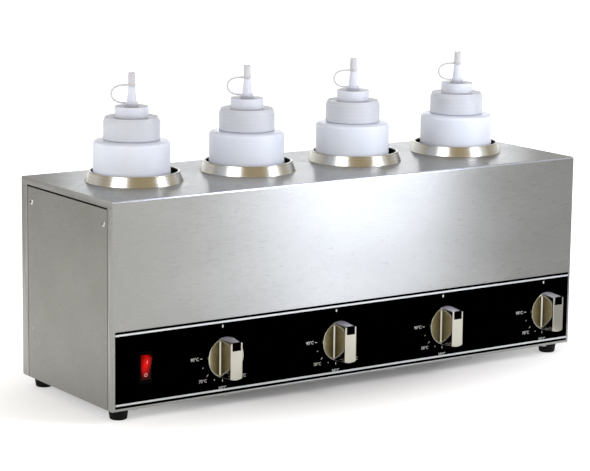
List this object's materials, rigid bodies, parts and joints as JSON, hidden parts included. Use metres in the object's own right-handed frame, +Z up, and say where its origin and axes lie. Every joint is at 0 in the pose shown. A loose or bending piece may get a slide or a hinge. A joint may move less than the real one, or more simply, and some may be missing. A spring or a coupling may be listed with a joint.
{
  "type": "hot fudge topping warmer",
  "caption": "Countertop topping warmer: a stainless steel box with heated wells, each holding a capped squeeze bottle and set by its own dial, with a rocker switch.",
  "frame": {"origin": "on the floor, at the middle of the whole object's footprint, knobs and cord gland included", "axes": "+X along the casing, to the right as seen from the controls; +Y from the controls to the back; +Z up"},
  "size_m": [0.5624, 0.2256, 0.3183],
  "materials": {
    "casing_steel": "brushed stainless sheet",
    "plated_steel": "zinc plated sheet",
    "fastener_steel": "zinc plated",
    "shaft_steel": "turned",
    "rivet_aluminium": "satin",
    "polished_steel": "polished stainless",
    "foot_rubber": "matte",
    "strip_film": "printed film, silver lines on black",
    "knob_metal": "satin, champagne plated",
    "pointer_plastic": "black",
    "switch_plastic": "black",
    "rocker_plastic": "red, gloss",
    "capillary_copper": "bare copper",
    "wire_silicone": "silicone insulation",
    "gland_nylon": "black nylon",
    "terminal_nylon": "natural nylon",
    "stud_brass": "plain",
    "bottle_polyethylene": "translucent, satin",
    "lid_polyethylene": "translucent, satin",
    "tip_polyethylene": "translucent, satin"
  },
  "bodies": {
    "casing": {"deck_sheet": "casing_steel", "front_sheet": "casing_steel", "back_sheet": "casing_steel", "end_panel_left": "casing_steel", "end_panel_right": "casing_steel", "corner_posts": "plated_steel", "end_rivets": "rivet_aluminium", "base_plate": "plated_steel", "base_screws": "fastener_steel", "rubber_feet": "foot_rubber", "foot_screws": "fastener_steel", "control_overlay": "strip_film", "thermostat_screws": "fastener_steel", "switch_housing": "switch_plastic", "heater_bands": "plated_steel", "heater_clamps": "fastener_steel", "sensor_bulbs": "capillary_copper", "wiring": "wire_silicone", "cable_gland": "gland_nylon", "gland_locknut": "gland_nylon", "terminal_block": "terminal_nylon", "earth_stud": "stud_brass", "thermostat_1": "plated_steel", "thermostat_2": "plated_steel", "thermostat_3": "plated_steel", "thermostat_4": "plated_steel", "well_cup_1": "polished_steel", "well_cup_2": "polished_steel", "well_cup_3": "polished_steel", "well_cup_4": "polished_steel", "well_collar_1": "polished_steel", "well_collar_2": "polished_steel", "well_collar_3": "polished_steel", "well_collar_4": "polished_steel"},
    "rocker": {"switch_rocker": "rocker_plastic"},
    "control_1": {"knob_1": "knob_metal", "knob_pointer_1": "pointer_plastic", "thermostat_shaft_1": "shaft_steel"},
    "bottle_1": {"bottle_1": "bottle_polyethylene"},
    "lid_1": {"bottle_lid_1": "lid_polyethylene"},
    "tip_1": {"tip_cap_1": "tip_polyethylene"},
    "control_2": {"knob_2": "knob_metal", "knob_pointer_2": "pointer_plastic", "thermostat_shaft_2": "shaft_steel"},
    "bottle_2": {"bottle_2": "bottle_polyethylene"},
    "lid_2": {"bottle_lid_2": "lid_polyethylene"},
    "tip_2": {"tip_cap_2": "tip_polyethylene"},
    "control_3": {"knob_3": "knob_metal", "knob_pointer_3": "pointer_plastic", "thermostat_shaft_3": "shaft_steel"},
    "bottle_3": {"bottle_3": "bottle_polyethylene"},
    "lid_3": {"bottle_lid_3": "lid_polyethylene"},
    "tip_3": {"tip_cap_3": "tip_polyethylene"},
    "control_4": {"knob_4": "knob_metal", "knob_pointer_4": "pointer_plastic", "thermostat_shaft_4": "shaft_steel"},
    "bottle_4": {"bottle_4": "bottle_polyethylene"},
    "lid_4": {"bottle_lid_4": "lid_polyethylene"},
    "tip_4": {"tip_cap_4": "tip_polyethylene"}
  },
  "joints": [
    {"name": "switch_rock", "type": "hinge", "parent": "casing", "child": "rocker", "pos_m": [-0.2455, -0.08745, 0.051], "axis": [-1, 0, 0], "range_deg": [0, 20]},
    {"name": "control_turn_1", "type": "hinge", "parent": "casing", "child": "control_1", "pos_m": [-0.1585, -0.08725, 0.051], "axis": [0, 1, 0], "range_deg": [0, 270]},
    {"name": "control_turn_2", "type": "hinge", "parent": "casing", "child": "control_2", "pos_m": [-0.0245, -0.08725, 0.051], "axis": [0, 1, 0], "range_deg": [0, 270]},
    {"name": "control_turn_3", "type": "hinge", "parent": "casing", "child": "control_3", "pos_m": [0.1095, -0.08725, 0.051], "axis": [0, 1, 0], "range_deg": [0, 270]},
    {"name": "control_turn_4", "type": "hinge", "parent": "casing", "child": "control_4", "pos_m": [0.2435, -0.08725, 0.051], "axis": [0, 1, 0], "range_deg": [0, 270]},
    {"name": "bottle_lift_1", "type": "slide", "parent": "casing", "child": "bottle_1", "axis": [0, 0, 1], "range_m": [0, 0.165]},
    {"name": "lid_lift_1", "type": "slide", "parent": "bottle_1", "child": "lid_1", "axis": [0, 0, 1], "range_m": [0, 0.03]},
    {"name": "tip_lift_1", "type": "slide", "parent": "lid_1", "child": "tip_1", "axis": [0, 0, 1], "range_m": [0, 0.035]},
    {"name": "bottle_lift_2", "type": "slide", "parent": "casing", "child": "bottle_2", "axis": [0, 0, 1], "range_m": [0, 0.165]},
    {"name": "lid_lift_2", "type": "slide", "parent": "bottle_2", "child": "lid_2", "axis": [0, 0, 1], "range_m": [0, 0.03]},
    {"name": "tip_lift_2", "type": "slide", "parent": "lid_2", "child": "tip_2", "axis": [0, 0, 1], "range_m": [0, 0.035]},
    {"name": "bottle_lift_3", "type": "slide", "parent": "casing", "child": "bottle_3", "axis": [0, 0, 1], "range_m": [0, 0.165]},
    {"name": "lid_lift_3", "type": "slide", "parent": "bottle_3", "child": "lid_3", "axis": [0, 0, 1], "range_m": [0, 0.03]},
    {"name": "tip_lift_3", "type": "slide", "parent": "lid_3", "child": "tip_3", "axis": [0, 0, 1], "range_m": [0, 0.035]},
    {"name": "bottle_lift_4", "type": "slide", "parent": "casing", "child": "bottle_4", "axis": [0, 0, 1], "range_m": [0, 0.165]},
    {"name": "lid_lift_4", "type": "slide", "parent": "bottle_4", "child": "lid_4", "axis": [0, 0, 1], "range_m": [0, 0.03]},
    {"name": "tip_lift_4", "type": "slide", "parent": "lid_4", "child": "tip_4", "axis": [0, 0, 1], "range_m": [0, 0.035]}
  ]
}
